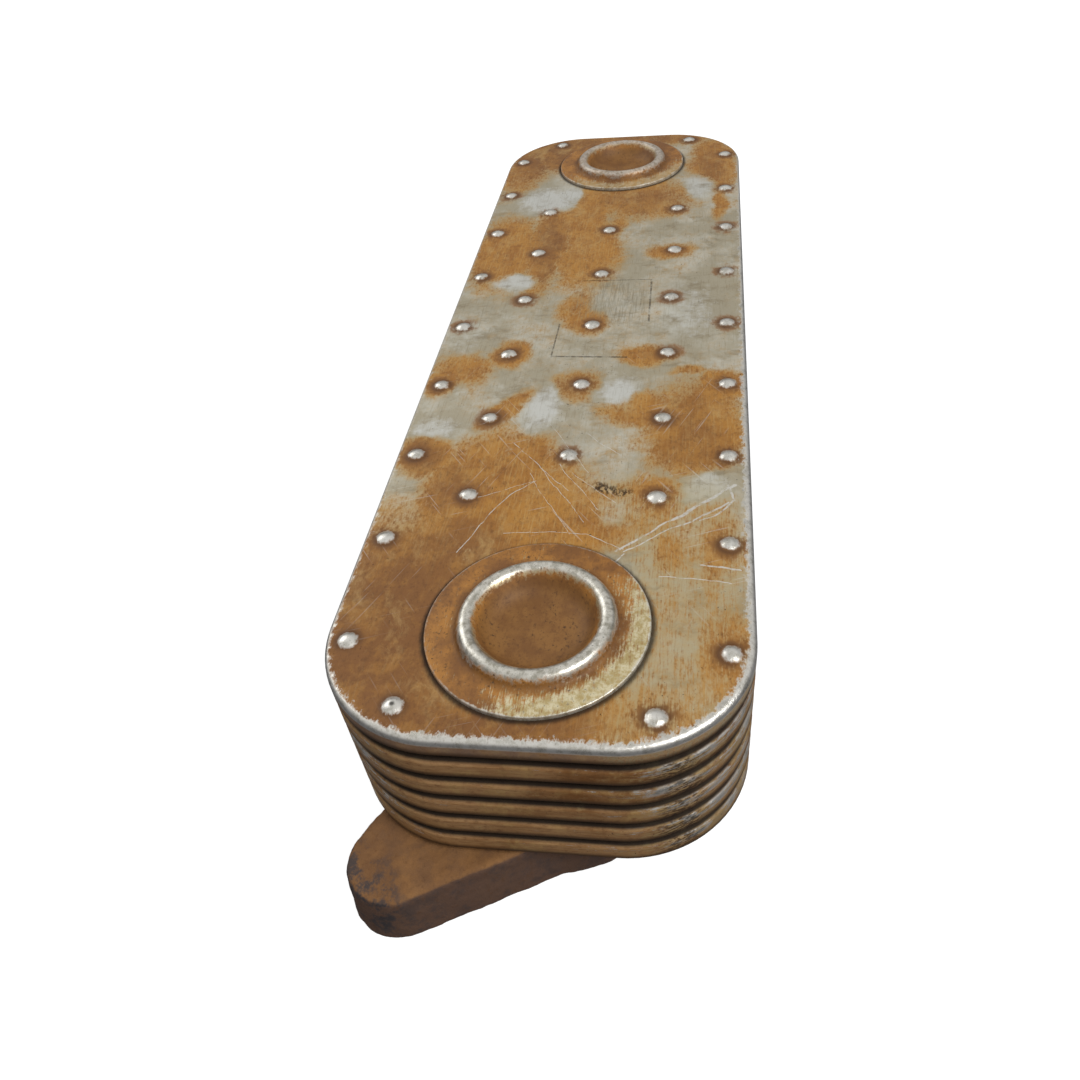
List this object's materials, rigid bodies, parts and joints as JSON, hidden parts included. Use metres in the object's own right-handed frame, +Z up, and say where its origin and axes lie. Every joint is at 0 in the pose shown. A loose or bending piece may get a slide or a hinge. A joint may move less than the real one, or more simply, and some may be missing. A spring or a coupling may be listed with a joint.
{
  "type": "hydraulic oil cooler",
  "caption": "Stacked-plate oil cooler: a long core of flat brazed stainless elements with dimpled faces, pressed caps over its end ports, and two-eared cast flanges underneath.",
  "frame": {"origin": "midway between the two oil ports, on the flanges' machined faces", "axes": "+X along the core towards the front port, +Y across the core, +Z up through the stack, from the flanges to the caps"},
  "size_m": [0.3976, 0.11, 0.0721],
  "materials": {
    "core_shell": "satin stainless sheet, stained orange-brown by rust and dried coolant",
    "fin": "bare thin stainless sheet",
    "ring": "turned stainless, lightly stained",
    "cap": "satin pressed stainless, stained brown, bead worn bright",
    "flange": "as cast with a film of brown rust, machined underneath",
    "seal": "matt black rubber"
  },
  "bodies": {
    "root": {"element_1_upper_shell": "core_shell", "element_1_lower_shell": "core_shell", "element_1_turbulator": "fin", "element_1_front_port_ring": "ring", "front_spacer_ring_1": "ring", "element_1_rear_port_ring": "ring", "rear_spacer_ring_1": "ring", "element_2_upper_shell": "core_shell", "element_2_lower_shell": "core_shell", "element_2_turbulator": "fin", "element_2_front_port_ring": "ring", "front_spacer_ring_2": "ring", "element_2_rear_port_ring": "ring", "rear_spacer_ring_2": "ring", "element_3_upper_shell": "core_shell", "element_3_lower_shell": "core_shell", "element_3_turbulator": "fin", "element_3_front_port_ring": "ring", "front_spacer_ring_3": "ring", "element_3_rear_port_ring": "ring", "rear_spacer_ring_3": "ring", "element_4_upper_shell": "core_shell", "element_4_lower_shell": "core_shell", "element_4_turbulator": "fin", "element_4_front_port_ring": "ring", "front_spacer_ring_4": "ring", "element_4_rear_port_ring": "ring", "rear_spacer_ring_4": "ring", "element_5_upper_shell": "core_shell", "element_5_lower_shell": "core_shell", "element_5_turbulator": "fin", "element_5_front_port_ring": "ring", "front_spacer_ring_5": "ring", "element_5_rear_port_ring": "ring", "rear_spacer_ring_5": "ring", "element_6_upper_shell": "core_shell", "element_6_lower_shell": "core_shell", "element_6_turbulator": "fin", "element_6_front_port_ring": "ring", "element_6_rear_port_ring": "ring", "front_port_cap": "cap", "front_port_flange": "flange", "front_port_seal": "seal", "rear_port_cap": "cap", "rear_port_flange": "flange", "rear_port_seal": "seal"}
  },
  "joints": []
}
